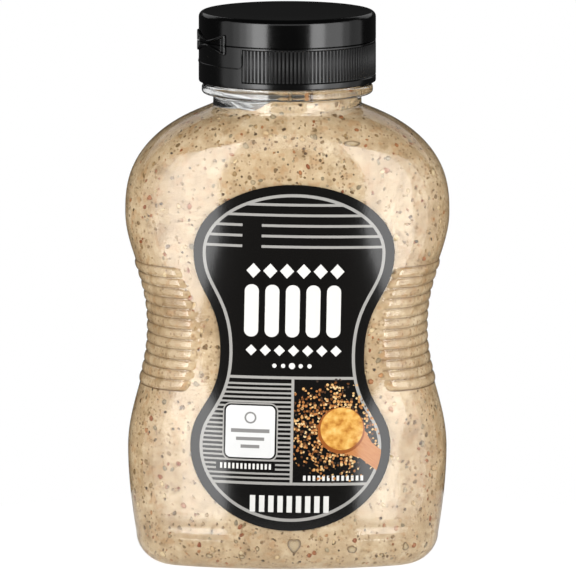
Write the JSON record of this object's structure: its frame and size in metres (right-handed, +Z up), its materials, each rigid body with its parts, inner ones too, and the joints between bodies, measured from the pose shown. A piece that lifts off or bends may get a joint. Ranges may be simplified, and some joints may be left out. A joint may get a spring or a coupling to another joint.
{
  "type": "squeeze bottle of coarse mustard",
  "caption": "Clear hourglass squeeze bottle of coarse mustard with ribbed grip, black labels front and back, and a black cap with a hinged lid.",
  "frame": {"origin": "middle of the base, on the surface that the bottle stands on", "axes": "+Z up along the bottle, -Y out of the front label, +X to the right seen from the front"},
  "size_m": [0.076, 0.0434, 0.13],
  "materials": {
    "bottle": "clear, glossy",
    "mustard": "moist, coarse",
    "label": "printed film, glossy",
    "cap": "moulded, glossy"
  },
  "bodies": {
    "bottle": {"bottle": "bottle", "mustard": "mustard", "front_label": "label", "back_label": "label", "cap_base": "cap"},
    "lid": {"cap_lid": "cap"}
  },
  "joints": [
    {"name": "lid_hinge", "type": "hinge", "parent": "bottle", "child": "lid", "pos_m": [-0.01946, -0.00949, 0.12327], "axis": [0.4384, -0.8988, 0], "range_deg": [0, 170]}
  ]
}
